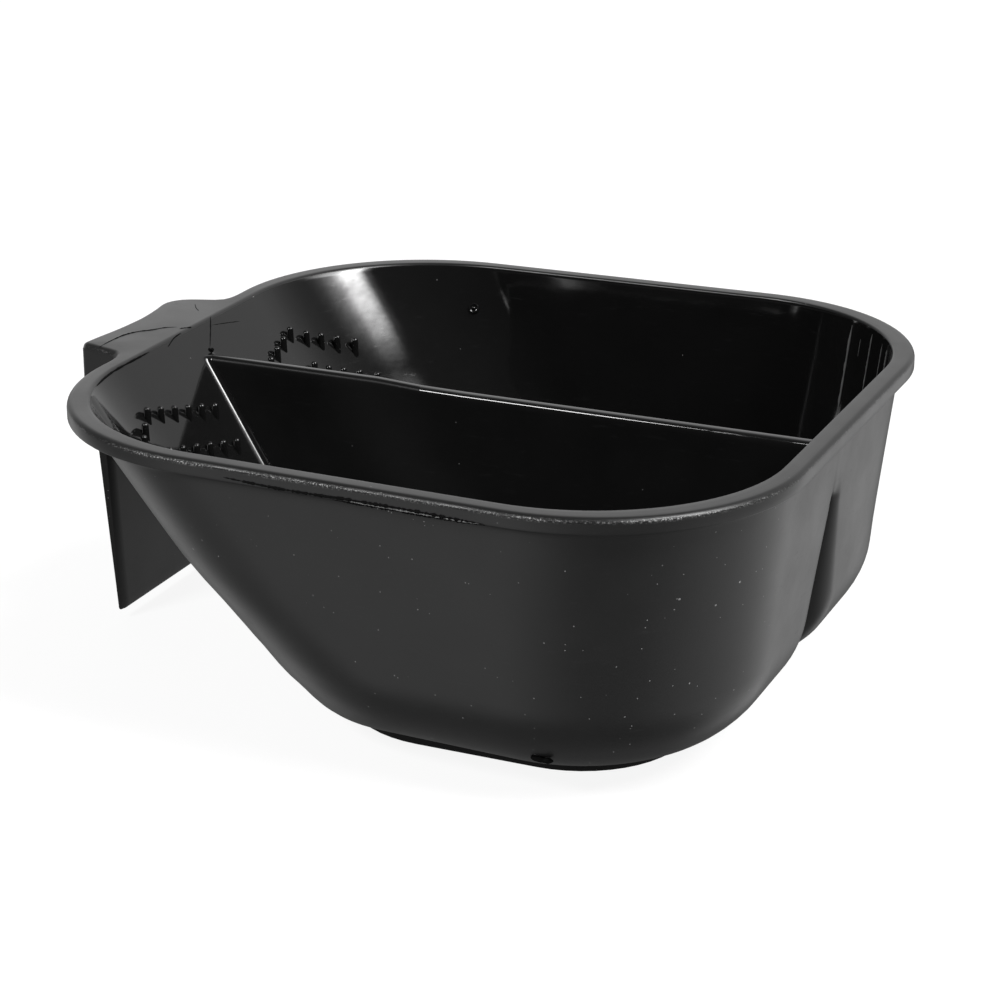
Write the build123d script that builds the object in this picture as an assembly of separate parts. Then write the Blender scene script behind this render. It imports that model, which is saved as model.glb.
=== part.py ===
"""Two-compartment hair tint bowl with a hanging grip plate and a rubber foot ring.

Frame: +Z up, the rubber ring stands on z = 0, the grip is at the -X end, and the origin is
below the middle of the bounding box.  Millimetres throughout.
"""
from build123d import *
from math import radians, sin, sqrt, tan
import os

# ---------------------------------------------------------------- driving dimensions
BOWL_HEIGHT = 65.0
RIM_RIGHT = 85.0             # rim edge at the end wall
RIM_LEFT = -73.0             # rim edge at the grip end
RIM_HALF_RIGHT = 81.12       # half width at the end wall, where the side lines would meet it
RIM_HALF_LEFT = 77.0         # half width at the grip end, taken the same way
RIM_RADIUS_RIGHT = 43.6
RIM_RADIUS_LEFT = 45.7
RIM_DEPTH = 3.3              # height of the down-turned lip
RIM_LAND = 4.2               # width of the flat top of the rim
RIM_EDGE_ROUND = 0.6

WALL = 2.0
WALL_RIGHT = 82.2            # outer face of the end wall under the rim
WALL_LEFT = -71.4            # outer face of the sloping wall, carried up to the rim's top
WALL_HALF = 78.3             # half width of the outer wall under the rim, end-wall side
SIDE_TAPER = 3.5             # how much narrower the half width is at the grip end
END_DRAFT = 0.093            # inward lean of the end wall, per unit of drop
SIDE_DRAFT = 0.117           # the same for the two side walls
RAMP_SLOPE = 0.704           # run of the sloping grip-end wall per unit of drop
UNDERSIDE = 3.2              # height of the flat underside over the surface the bowl stands on
HEEL = 19.3                  # radius of the curve from wall to underside
HEEL_RUN_LEFT = 28.9         # the same curve's run along X at the grip end

CORNER_GAP = 3.0             # least straight run left between two corner arcs

DIVIDER_TOP = 58.5
DIVIDER_TOP_WIDTH = 2.8
DIVIDER_DRAFT = 7.5          # degrees on each face
DIVIDER_WALL = 1.5
GROOVE_TOP = 46.0            # the divider is hollow from below up to here
CREST_RISE = 0.7             # the divider's top climbs this much towards the grip
CREST_LOW_X = -8.0
CREST_HIGH_X = -24.0

# corner radii of the wall by height: (height, radius)
RADII_LEFT = [(3.2, 12.0), (12.0, 43.0), (20.0, 52.0), (38.0, 45.5), (61.7, 45.5)]
RADII_RIGHT = [(3.2, 26.0), (12.0, 37.5), (32.0, 42.0), (61.7, 44.0)]
RADII_GROOVE = [(3.2, 7.0), (26.0, 5.0), (45.9, 2.5), (46.0, 0.3)]
RADII_DIVIDER = [(5.2, 3.0), (20.0, 1.8), (40.0, 1.1), (61.7, 0.9)]

GRIP_END = -85.0
GRIP_HALF_END = 20.6         # half width of the grip's outer edge
GRIP_HALF_ROOT = 24.0        # half width where the web runs into the rim
GRIP_NEAR_ROUND = 1.6
GRIP_FAR_ROUND = 6.0
GRIP_ROOT_ROUND = 0.5
THUMB_HALF = 15.3            # half width of the shallow hollow in the grip's outer end
THUMB_DEPTH = 1.65
WEB_THICKNESS = 3.0
CHEEK_THICKNESS = 2.4        # the grip's two side cheeks, between the plate and the rim
CHEEK_DEPTH = 14.0           # how far a cheek reaches down the plate
PLATE_BOTTOM = 2.2
PLATE_HALF_BOTTOM = 18.6
PLATE_TOP_THICKNESS = 2.4
PLATE_BOTTOM_THICKNESS = 1.4
PLATE_LEAN = 5.0             # how far the foot of the plate is set in from its top

RING_LEFT = -13.3
RING_RIGHT = 59.9
RING_HALF = 51.8
RING_RADIUS = 23.4
RING_WIDTH = 6.0
RING_HEIGHT = 6.5            # trimmed by the underside that it is seated against
RIB_WIDTH = 1.6
RIB_BOTTOM = 1.0

NUB_RADIUS = 0.75
NUB_HEIGHT = 4.0
NUB_OFFSET = 0.9             # how far a nub's axis stands off the wall at its own height
NUB_RISE = 0.6
# rows of nubs, the same on both sides: first distance from the divider's middle plane, pitch,
# first height, rise per nub, count
NUB_ROWS = [
    (10.05, 4.54, 50.4, 1.08, 6),
    (37.1, 3.8, 53.9, -1.35, 4),
    (10.1, 4.7, 43.0, 0.97, 6),
    (37.2, 3.8, 46.1, -1.35, 4),
]

WALL_LEVELS = [0.0, 0.25, 0.9, 2.2, 4.2, 7.0, 10.5, 15.0, 19.3, 28.8, 36.8, 41.6, 42.8, 48.8]
MIN_SPAN = 0.5               # sections of a loft stay at least this far apart
LIP_BOTTOM = BOWL_HEIGHT - RIM_DEPTH

os.makedirs("parts", exist_ok=True)


# ---------------------------------------------------------------- section helpers
def read_station(stations, height):
    """Straight-line value between listed (height, value) stations."""
    for (low, first), (high, second) in zip(stations, stations[1:]):
        if height <= high:
            share = max(0.0, (height - low) / (high - low))
            return first + share * (second - first)
    return stations[-1][1]


def wall_section(height, inset):
    """Left, right, half width and corner radii of the wall at a height, moved in by inset."""
    floor = UNDERSIDE + inset
    heel = HEEL - inset
    drop = LIP_BOTTOM - height
    below = max(0.0, floor + heel - height) / heel
    curve = 1.0 - sqrt(max(0.0, 1.0 - below ** 2))
    slope_inset = inset * sqrt(1.0 + RAMP_SLOPE ** 2)
    ramp_left = WALL_LEFT + slope_inset + RAMP_SLOPE * (BOWL_HEIGHT - height)
    left = ramp_left + curve * (HEEL_RUN_LEFT - inset)
    right = WALL_RIGHT - inset - END_DRAFT * drop - curve * heel
    half = WALL_HALF - inset - SIDE_DRAFT * drop - curve * heel
    radius_left = read_station(RADII_LEFT, height) - inset
    radius_right = read_station(RADII_RIGHT, height) - inset
    return left, right, half, radius_left, radius_right


def rounded_corner(before, corner, after, radius):
    """Start, middle and end of the arc that rounds a corner."""
    corner = Vector(*corner)
    toward_before = (Vector(*before) - corner).normalized()
    toward_after = (Vector(*after) - corner).normalized()
    half_angle = radians(toward_before.get_angle(toward_after)) / 2
    bisector = (toward_before + toward_after).normalized()
    start = corner + toward_before * (radius / tan(half_angle))
    end = corner + toward_after * (radius / tan(half_angle))
    middle = corner + bisector * (radius / sin(half_angle) - radius)
    return start, middle, end


def rounded_face(corners, radii, height):
    """Flat face at a height from four corners, each rounded by its own radius."""
    count = len(corners)
    arcs = [
        rounded_corner(corners[i - 1], corners[i], corners[(i + 1) % count], radii[i])
        for i in range(count)
    ]
    edges = []
    for i in range(count):
        start, middle, end = arcs[i]
        next_start = arcs[(i + 1) % count][0]
        edges.append(ThreePointArc(start, middle, end))
        edges.append(Line(end, next_start))
    return Pos(0, 0, height) * make_face(Wire(edges))


def divider_face(height):
    """Distance of the divider's faces from its middle plane at a height."""
    return DIVIDER_TOP_WIDTH / 2 + tan(radians(DIVIDER_DRAFT)) * (DIVIDER_TOP - height)


def groove_face(height):
    """Distance of the groove's faces from the middle plane; zero above the groove."""
    return 0.0 if height >= GROOVE_TOP else divider_face(height) - DIVIDER_WALL


def cup_section(height, side, inset):
    """One compartment's outline on a side (-1 front, +1 back): three walls and the divider.

    With no inset this is the outer body, which the groove bounds; else it is the hollow.
    """
    left, right, half, radius_left, radius_right = wall_section(height, inset)
    if inset:
        split = divider_face(height)
        radius_split = read_station(RADII_DIVIDER, height)
    else:
        split = groove_face(height)
        radius_split = read_station(RADII_GROOVE, height)
    half_left = half - SIDE_TAPER
    radius_left = min(radius_left, half_left - split - radius_split - CORNER_GAP)
    corners = [
        (left, side * half_left), (right, side * half), (right, side * split), (left, side * split)
    ]
    radii = [radius_left, radius_right, radius_split, radius_split]
    if side > 0:
        corners.reverse()
        radii.reverse()
    return rounded_face(corners, radii, height)


def levels(inset, top):
    """Heights of the sections of a loft, closest together where the heel curves."""
    floor = UNDERSIDE + inset
    heights = [floor + step for step in WALL_LEVELS if floor + step < top - MIN_SPAN]
    return heights + [top]


def cup(side, inset, top):
    """Solid body of one compartment up to a height."""
    sections = [cup_section(height, side, inset) for height in levels(inset, top)]
    return loft(sections, ruled=True)


def rim_outline(inset, height):
    """The rim's outline at a height, moved in by inset."""
    left, right = RIM_LEFT + inset, RIM_RIGHT - inset
    half_left, half_right = RIM_HALF_LEFT - inset, RIM_HALF_RIGHT - inset
    corners = [(left, -half_left), (right, -half_right), (right, half_right), (left, half_left)]
    radius_left, radius_right = RIM_RADIUS_LEFT - inset, RIM_RADIUS_RIGHT - inset
    return rounded_face(corners, [radius_left, radius_right, radius_right, radius_left], height)


def whole_section(height, inset):
    """Outline of both compartments together."""
    left, right, half, radius_left, radius_right = wall_section(height, inset)
    half_left = half - SIDE_TAPER
    corners = [(left, -half_left), (right, -half), (right, half), (left, half_left)]
    return rounded_face(corners, [radius_left, radius_right, radius_right, radius_left], height)


def mouth():
    """The clear space over the divider, up and out through the rim."""
    sections = [whole_section(height, WALL) for height in (DIVIDER_TOP, LIP_BOTTOM)]
    sections.append(rim_outline(RIM_LAND, BOWL_HEIGHT))
    above = extrude(rim_outline(RIM_LAND, BOWL_HEIGHT), 1.0)
    return loft(sections, ruled=True) + above


# ---------------------------------------------------------------- pieces
def divider_crest(side):
    """One half of the low ridge by which the divider's top climbs towards the grip."""
    inside_wall = wall_section(DIVIDER_TOP, WALL)[0] - WALL / 2
    high = DIVIDER_TOP + CREST_RISE
    profile = Polyline(
        (inside_wall, DIVIDER_TOP), (CREST_LOW_X, DIVIDER_TOP), (CREST_HIGH_X, high), (inside_wall, high),
        close=True,
    )
    half_width = side * DIVIDER_TOP_WIDTH / 2
    return extrude(make_face(Plane.XZ * profile), -half_width)


def tub(side):
    """One compartment: its share of the outer wall, its floor and its own half of the divider."""
    shell = cup(side, 0.0, LIP_BOTTOM) - cup(side, WALL, DIVIDER_TOP) - mouth()
    return shell + divider_crest(side)


def rim_collar():
    """Flat-topped lip all round, turned down outside the wall."""
    body = extrude(rim_outline(0.0, LIP_BOTTOM), RIM_DEPTH)
    body = fillet(body.edges().group_by(Axis.Z)[-1], RIM_EDGE_ROUND)
    return body - mouth()


def grip_outline(height):
    """The grip seen from above: a near corner that is almost sharp and a rounded far one."""
    corners = [
        (GRIP_END, -GRIP_HALF_END), (RIM_LEFT + RIM_LAND, -GRIP_HALF_ROOT),
        (RIM_LEFT + RIM_LAND, GRIP_HALF_ROOT), (GRIP_END, GRIP_HALF_END),
    ]
    radii = [GRIP_NEAR_ROUND, GRIP_ROOT_ROUND, GRIP_ROOT_ROUND, GRIP_FAR_ROUND]
    return rounded_face(corners, radii, height)


def grip_cheeks():
    """Side walls of the grip, deep at the plate and running out at the rim."""
    top = BOWL_HEIGHT - WEB_THICKNESS
    reach = RIM_LEFT - GRIP_END
    lean = PLATE_LEAN * CHEEK_DEPTH / (top - PLATE_BOTTOM)
    profile = Polyline(
        (GRIP_END, top), (RIM_LEFT, top), (RIM_LEFT, top - 1.0), (GRIP_END + lean, top - CHEEK_DEPTH),
        close=True,
    )
    wedge = extrude(make_face(Plane.XZ * profile), 2 * GRIP_HALF_ROOT, both=True)
    core = make_face(Polyline(
        (GRIP_END - 1.0, -GRIP_HALF_END + CHEEK_THICKNESS),
        (GRIP_END + reach + 1.0, -GRIP_HALF_ROOT + CHEEK_THICKNESS),
        (GRIP_END + reach + 1.0, GRIP_HALF_ROOT - CHEEK_THICKNESS),
        (GRIP_END - 1.0, GRIP_HALF_END - CHEEK_THICKNESS),
        close=True,
    ))
    walls = extrude(grip_outline(0.0), top) - extrude(core, top)
    return (walls & wedge) - grip_plate()


def grip_web():
    """Shelf that carries the grip plate out from the rim, with a cheek down each side."""
    bottom = BOWL_HEIGHT - WEB_THICKNESS
    slab = extrude(grip_outline(bottom), WEB_THICKNESS)
    rim_block = extrude(rim_outline(0.0, bottom - CHEEK_DEPTH), CHEEK_DEPTH + WEB_THICKNESS + 1.0)
    return slab + grip_cheeks() - rim_block - thumb_hollow()


def thumb_hollow():
    """Shallow upright cylinder that hollows the grip's outer end."""
    radius = (THUMB_HALF ** 2 + THUMB_DEPTH ** 2) / (2 * THUMB_DEPTH)
    return Pos(GRIP_END + THUMB_DEPTH - radius, 0, BOWL_HEIGHT / 2) * Cylinder(radius, BOWL_HEIGHT + 2)


def grip_plate():
    """Plate that hangs from the web's outer edge, for the fingers to close round."""
    top = BOWL_HEIGHT - WEB_THICKNESS
    foot_middle = GRIP_END + PLATE_LEAN + PLATE_BOTTOM_THICKNESS / 2
    foot = Pos(foot_middle, 0, PLATE_BOTTOM) * Rectangle(PLATE_BOTTOM_THICKNESS, 2 * PLATE_HALF_BOTTOM)
    head_thickness = PLATE_TOP_THICKNESS + THUMB_DEPTH
    head_middle = GRIP_END + head_thickness / 2
    head = Pos(head_middle, 0, top) * Rectangle(head_thickness, 2 * (GRIP_HALF_END - GRIP_NEAR_ROUND))
    return loft([foot, head], ruled=True) - thumb_hollow()


def foot_outline(inset, height):
    """Outline of the rubber ring, moved in by inset."""
    middle = (RING_LEFT + RING_RIGHT) / 2
    length = RING_RIGHT - RING_LEFT - 2 * inset
    shape = RectangleRounded(length, 2 * (RING_HALF - inset), RING_RADIUS - inset)
    return Pos(middle, 0, height) * shape


def above_underside(side):
    """The lower part of one compartment's outer body, which trims what sits under it."""
    return cup(side, 0.0, 20.0)


def rubber_foot_ring():
    """Soft ring the bowl stands on, stretched round the ribs and against the underside."""
    body = extrude(foot_outline(0.0, 0.0) - foot_outline(RING_WIDTH, 0.0), RING_HEIGHT)
    bridge = Box(RING_RIGHT - RING_LEFT, 16.0, RING_HEIGHT)
    slot_roof = Pos((RING_LEFT + RING_RIGHT) / 2, 0, UNDERSIDE + RING_HEIGHT / 2) * bridge
    return body - above_underside(-1) - above_underside(1) - slot_roof


def foot_rib(side):
    """Rib under one compartment that holds the rubber ring in place."""
    band = foot_outline(RING_WIDTH, RIB_BOTTOM) - foot_outline(RING_WIDTH + RIB_WIDTH, RIB_BOTTOM)
    body = extrude(band, RING_HEIGHT)
    half_space = Pos(0, side * (divider_face(UNDERSIDE) + 100), 0) * Box(300, 200, 60)
    return (body & half_space) - above_underside(side)


def inner_wall_x(y, height):
    """X of the sloping wall's inner face at a place across the bowl."""
    left, _, half, radius, _ = wall_section(height, WALL)
    past_arc_start = abs(y) - (half - SIDE_TAPER - radius)
    if past_arc_start <= 0:
        return left
    return left + radius - sqrt(max(0.0, radius ** 2 - past_arc_start ** 2))


def nub(y, height):
    """Upright peg with a domed tip, standing out of the sloping wall."""
    x = inner_wall_x(y, height) + NUB_OFFSET
    shaft = Cylinder(NUB_RADIUS, NUB_HEIGHT, align=(Align.CENTER, Align.CENTER, Align.MAX))
    return Pos(x, y, height + NUB_RISE) * (shaft + Sphere(NUB_RADIUS))


def scraper_nubs(side):
    """Rows of pegs on one compartment's sloping wall, for wiping a tint brush."""
    pegs = []
    for first, pitch, first_height, rise, count in NUB_ROWS:
        for i in range(count):
            pegs.append(nub(side * (first + i * pitch), first_height + i * rise))
    return Part() + [peg & cup(side, WALL, DIVIDER_TOP + 1.0) for peg in pegs]


# ---------------------------------------------------------------- write every piece
def main():
    pieces = {
        "front_tub": tub(-1),
        "rear_tub": tub(1),
        "rim_collar": rim_collar(),
        "grip_web": grip_web(),
        "grip_plate": grip_plate(),
        "front_foot_rib": foot_rib(-1),
        "rear_foot_rib": foot_rib(1),
        "rubber_foot_ring": rubber_foot_ring(),
        "front_scraper_nubs": scraper_nubs(-1),
        "rear_scraper_nubs": scraper_nubs(1),
    }
    for name, shape in pieces.items():
        export_step(shape, f"parts/{name}.step")
        print(name, round(shape.volume, 1), len(shape.solids()), shape.is_valid)


if __name__ == "__main__":
    main()
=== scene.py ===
"""A two-compartment hair tint bowl in black plastic, on a pale floor in soft white light.

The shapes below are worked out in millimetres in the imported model's frame: +Z up, -X at the
grip, the rubber ring on z = 0.  They become metres when each mesh is made.
"""
import math
import random

import bmesh
import bpy
from mathutils import Matrix, Vector
from mathutils.bvhtree import BVHTree


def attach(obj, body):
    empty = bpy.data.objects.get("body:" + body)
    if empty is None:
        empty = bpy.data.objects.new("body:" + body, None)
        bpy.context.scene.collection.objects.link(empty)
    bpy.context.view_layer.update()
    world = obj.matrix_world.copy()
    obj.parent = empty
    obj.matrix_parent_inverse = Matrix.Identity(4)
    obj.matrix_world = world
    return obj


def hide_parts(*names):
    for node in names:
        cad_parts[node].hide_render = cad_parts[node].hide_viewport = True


MM = 0.001

# ---------------------------------------------------------------- driving dimensions, mm
RIM_TOP = 65.0
LIP_BOTTOM = 61.7
RIM_LEFT, RIM_RIGHT = -73.0, 85.0
RIM_HALF_LEFT, RIM_HALF_RIGHT = 77.0, 81.12
RIM_RADIUS_LEFT, RIM_RADIUS_RIGHT = 45.7, 43.6
LIP_ROUND = 1.3
INNER_ROUND = 0.5
# the finely divided stretch of the rim's ends on each side of the middle plane
RIM_REACH = 3.0
# how much the rounding over the lip is rubbed and carries a painted glint line, from the flat
# top outward and down
LIP_WEAR_AND_GLINT = (0.0, 0.0, 0.0, 0.0, 0.25, 1.0, 0.3, 0.0)
# rubbing round the rim, its pale flecks also a painted glint line: a little everywhere, and most
# along the front past the grip's corner, but for a quiet stretch
WEAR_ALL_ROUND = 0.22
WEAR_AND_GLINT_START_X, WEAR_AND_GLINT_START_RUN = -45.0, 14.0
WEAR_AND_GLINT_FRONT_Y, WEAR_AND_GLINT_FRONT_RUN = -45.0, 20.0
QUIET_X, QUIET_HALF, QUIET_SHARE = 59.0, 7.0, 0.6

WALL = 2.0
WALL_LEFT, WALL_RIGHT = -71.4, 82.2
WALL_HALF = 78.3
SIDE_TAPER = 3.5
END_DRAFT, SIDE_DRAFT = 0.093, 0.117
RAMP_SLOPE = 0.704
UNDERSIDE = 3.2
HEEL = 19.3
HEEL_RUN_LEFT = 28.9
CORNER_GAP = 3.0

DIVIDER_TOP = 58.5
DIVIDER_TOP_WIDTH = 2.8
DIVIDER_DRAFT = 7.5
DIVIDER_WALL = 1.5
DIVIDER_ROUND = 0.9
GROOVE_TOP = 46.0
CREST_RISE = 0.7
CREST_LOW_X, CREST_HIGH_X = -8.0, -24.0
# the crest fades out over this much height below it, and sideways from the divider
CREST_REACH_DOWN = 8.0
CREST_SIDE_END, CREST_SIDE_RUN = 9.0, 5.0
# the dent that the groove leaves in the end walls above its top: depth, fading height, remainder
CREASE_DEPTH, CREASE_FADE, CREASE_LEFT = 2.6, 1.3, 0.12

# corner radii of the wall by height: (height, radius); the inside of the grip end has its own
RADII_LEFT = [(3.2, 12.0), (12.0, 43.0), (20.0, 52.0), (38.0, 45.5), (61.7, 44.6)]
RADII_LEFT_INSIDE = [
    (3.2, 12.0), (12.0, 43.0), (20.0, 50.5), (29.0, 44.6), (36.0, 43.6), (42.0, 44.2), (48.0, 44.8),
    (61.7, 45.0),
]
RADII_RIGHT = [(3.2, 26.0), (12.0, 37.5), (32.0, 42.0), (61.7, 42.8)]
RADII_GROOVE = [(3.2, 7.0), (26.0, 5.0), (46.0, 2.5)]
RADII_DIVIDER = [(5.2, 3.0), (20.0, 2.2), (40.0, 1.9), (52.0, 1.7), (61.7, 1.0)]

# the grip's outline seen from above, from the middle of its end round to the rim
GRIP_NEAR = [
    (-83.3, 1.5), (-83.4, -1.8), (-83.6, -5.8), (-83.95, -9.5), (-84.45, -13.5), (-84.8, -16.6),
    (-84.95, -18.9), (-84.75, -19.9), (-84.2, -20.35), (-82.0, -20.95), (-79.8, -21.6),
    (-77.0, -22.4), (-75.2, -22.9), (-74.4, -23.4), (-73.7, -24.8), (-73.2, -26.6), (-73.0, -29.0),
]
GRIP_FAR = [
    (-83.3, 1.5), (-83.45, 4.5), (-83.75, 7.8), (-84.15, 10.8), (-84.6, 13.5), (-84.55, 15.4),
    (-84.0, 17.0), (-82.7, 18.9), (-80.9, 20.2), (-78.6, 21.2), (-76.2, 22.1), (-74.3, 23.0),
    (-73.4, 24.6), (-73.05, 26.8), (-73.0, 29.0),
]
# the cheeks under the web's two sides: how thick they are, and how deep beside the plate
CHEEK_THICKNESS = 2.2
CHEEK_DEPTH = 13.0
WEB_BOTTOM = 62.0
# the lip's lower edge: how far in, its height along the wall and its height round the grip
LIP_EDGE = [(0.0, 61.9, 62.2), (0.06, 61.76, 62.06), (0.25, LIP_BOTTOM, WEB_BOTTOM)]
GRIP_LEFT = -85.0
PLATE_BOTTOM = 2.2
PLATE_LEAN = 5.0
PLATE_TOP_THICKNESS = 2.4
PLATE_BOTTOM_THICKNESS = 1.4
PLATE_NEAR_TOP, PLATE_FAR_TOP = -19.0, 18.6
PLATE_HALF_BOTTOM = 18.6
PLATE_LEFT = -84.9
# the outer face's thumb hollow, and its turn inward beside the far edge
PLATE_HOLLOW, PLATE_HOLLOW_HALF = 1.15, 13.5
PLATE_TURN, PLATE_TURN_START, PLATE_TURN_RUN = 1.6, 14.0, 4.6
PLATE_COLUMNS = 24

RING_LEFT, RING_RIGHT = -13.3, 59.9
RING_HALF = 51.8
RING_RADIUS = 23.4
RING_WIDTH = 6.0
RING_HEIGHT = 6.3
# the ring's section: distance in from its outline, height, and share of the space added to it
RING_PROFILE = [
    (0.45, 0.0, 0.0), (0.12, 0.12, 0.0), (0.0, 0.0, 0.45), (0.0, 0.0, 0.5), (0.0, 0.0, 0.97),
    (0.25, 0.0, 1.0), (1.5, 0.0, 1.0), (3.0, 0.0, 1.0), (4.5, 0.0, 1.0), (RING_WIDTH - 0.2, 0.0, 1.0),
    (RING_WIDTH, 0.0, 0.9), (RING_WIDTH, 0.2, 0.0), (RING_WIDTH - 0.3, 0.0, 0.0),
]

NUB_RADIUS = 0.75
NUB_HEIGHT = 4.0
NUB_OFFSET = 0.9
NUB_RISE = 0.6
NUB_SIDES = 14
# rows of nubs, mirrored: first distance from the middle, pitch, first height, rise per nub, count
NUB_ROWS = [
    (10.05, 4.54, 50.4, 1.08, 6), (37.1, 3.8, 53.9, -1.35, 4),
    (10.1, 4.7, 43.0, 0.97, 6), (37.2, 3.8, 46.1, -1.35, 4),
]

# how finely the outlines are divided
FILLET_STEPS = 6
END_STEPS = 18
ARC_STEPS = 28
SIDE_STEPS = 14
FACE_STEPS = 14
HEEL_STEPS = 16

# ---------------------------------------------------------------- light and camera
# greys of the sky from the front to the back of the room, and of the table by share of a turn
# from -X by way of -Y
SKY_TONES = [(0.30, 0.045), (0.60, 0.17), (0.75, 0.44), (0.87, 0.88)]
TABLE_TONES = [
    (0.0, 0.27), (0.06, 0.28), (0.12, 0.50), (0.17, 0.90), (0.22, 0.72), (0.31, 0.25), (0.40, 0.28),
    (0.50, 0.62), (0.60, 0.75), (0.68, 1.0), (0.718, 1.0), (0.738, 0.16), (0.80, 0.12), (0.87, 0.20),
    (0.905, 0.72), (0.935, 0.66), (1.0, 0.27),
]
TABLE_BELOW = 0.14
# the window: its full brightness, and shares of it across by the same turn and up from the nadir
WINDOW_BRIGHTNESS = 33.0
WINDOW_ACROSS = [
    (0.430, 0.0), (0.447, 0.08), (0.461, 0.80), (0.472, 1.0), (0.498, 1.0), (0.511, 0.55),
    (0.522, 0.36), (0.539, 0.28), (0.556, 0.17), (0.583, 0.05), (0.61, 0.0),
]
WINDOW_UP = [
    (0.795, 0.0), (0.808, 0.06), (0.818, 0.16), (0.826, 0.40), (0.834, 1.0), (0.949, 1.0), (0.965, 0.0),
]
FLOOR_HALF = 3.0
FLOOR_GREY, FLOOR_GLOW = 0.15, 0.9
# the soft key light: the point it faces and its sides in metres, its direction in degrees
KEY_AIM = (0.0, 0.0, 0.06)
KEY_AZIMUTH, KEY_ELEVATION = -120.0, 38.0
KEY_WIDTH, KEY_HEIGHT = 0.25, 0.22
KEY_WATTS = 4.9
# the camera's place in mm, its turn in radians, and its sensor and lens in mm
CAMERA_PLACE = (226.7, -511.4, 239.9)
CAMERA_YAW, CAMERA_PITCH, CAMERA_ROLL = 0.4068, 0.3526, 0.0042
SENSOR_WIDTH, LENS = 36.0, 98.61557

# ---------------------------------------------------------------- finishes
RELIEF_SCALES = (25.0, 190.0, 2200.0)
# the worn colour is pale rubbing, and along the front lip a painted glint as well
SCUFF_COLOUR, DUST_COLOUR, WORN_AND_GLINT_COLOUR = (0.05, 0.05, 0.052), (0.45, 0.45, 0.45), (0.6, 0.6, 0.6)
SCUFF_ROUGHNESS, DUST_ROUGHNESS, WORN_ROUGHNESS = 0.55, 0.8, 0.6
WORN_RELIEF = 0.2


# ---------------------------------------------------------------- outlines
def smooth_station(stations, height):
    """Value at a height on a smooth curve through (height, value) stations."""
    if height <= stations[0][0]:
        return stations[0][1]
    if height >= stations[-1][0]:
        return stations[-1][1]
    slopes = [(b[1] - a[1]) / (b[0] - a[0]) for a, b in zip(stations, stations[1:])]
    tangents = [slopes[0]]
    for before, after in zip(slopes, slopes[1:]):
        same_way = before * after > 0
        tangents.append(2 * before * after / (before + after) if same_way else 0.0)
    tangents.append(slopes[-1])
    for i, (low, high) in enumerate(zip(stations, stations[1:])):
        if height <= high[0]:
            span = high[0] - low[0]
            t = (height - low[0]) / span
            return (
                (2 * t ** 3 - 3 * t ** 2 + 1) * low[1]
                + (t ** 3 - 2 * t ** 2 + t) * span * tangents[i]
                + (3 * t ** 2 - 2 * t ** 3) * high[1]
                + (t ** 3 - t ** 2) * span * tangents[i + 1]
            )
    return stations[-1][1]


def wall_section(height, inset):
    """Left, right, half widths and corner radii of the wall at a height, moved in by inset."""
    floor = UNDERSIDE + inset
    heel = HEEL - inset
    drop = LIP_BOTTOM - height
    below = min(1.0, max(0.0, floor + heel - height) / heel)
    curve = 1.0 - math.sqrt(1.0 - below ** 2)
    slope_inset = inset * math.sqrt(1.0 + RAMP_SLOPE ** 2)
    slope_run = RAMP_SLOPE * (RIM_TOP - height)
    left = WALL_LEFT + slope_inset + slope_run + curve * (HEEL_RUN_LEFT - inset)
    right = WALL_RIGHT - inset - END_DRAFT * drop - curve * heel
    half = WALL_HALF - inset - SIDE_DRAFT * drop - curve * heel
    stations_left = RADII_LEFT_INSIDE if inset > WALL / 2 else RADII_LEFT
    radius_left = smooth_station(stations_left, height) - inset
    radius_right = smooth_station(RADII_RIGHT, height) - inset
    return left, right, half - SIDE_TAPER, half, radius_left, radius_right


def rim_section(inset):
    """The rim's outline, moved in by inset."""
    return (
        RIM_LEFT + inset, RIM_RIGHT - inset, RIM_HALF_LEFT - inset, RIM_HALF_RIGHT - inset,
        RIM_RADIUS_LEFT - inset, RIM_RADIUS_RIGHT - inset,
    )


def corner_arc(before, corner, after, radius, steps):
    """Points along the arc that rounds a corner."""
    before, corner, after = Vector(before), Vector(corner), Vector(after)
    back, on = (before - corner).normalized(), (after - corner).normalized()
    half_angle = back.angle(on) / 2
    centre = corner + (back + on).normalized() * (radius / math.sin(half_angle))
    start = corner + back * (radius / math.tan(half_angle)) - centre
    end = corner + on * (radius / math.tan(half_angle)) - centre
    turn = start.angle_signed(end)
    points = []
    for i in range(steps + 1):
        points.append(centre + Matrix.Rotation(-turn * i / steps, 2) @ start)
    return points


def divider_face(height):
    """Distance of the divider's faces from its middle plane at a height."""
    return DIVIDER_TOP_WIDTH / 2 + math.tan(math.radians(DIVIDER_DRAFT)) * (DIVIDER_TOP - height)


def groove_face(height):
    """Distance of the faces of the groove under the divider from the same plane."""
    return divider_face(height) - DIVIDER_WALL


def crest(x):
    """How far the divider's top has climbed on its way to the grip."""
    share = min(1.0, max(0.0, (CREST_LOW_X - x) / (CREST_LOW_X - CREST_HIGH_X)))
    return CREST_RISE * share * share * (3.0 - 2.0 * share)


def between(start, end, steps):
    """Evenly spaced points from start, up to but without end."""
    return [start.lerp(end, i / steps) for i in range(steps)]


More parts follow.
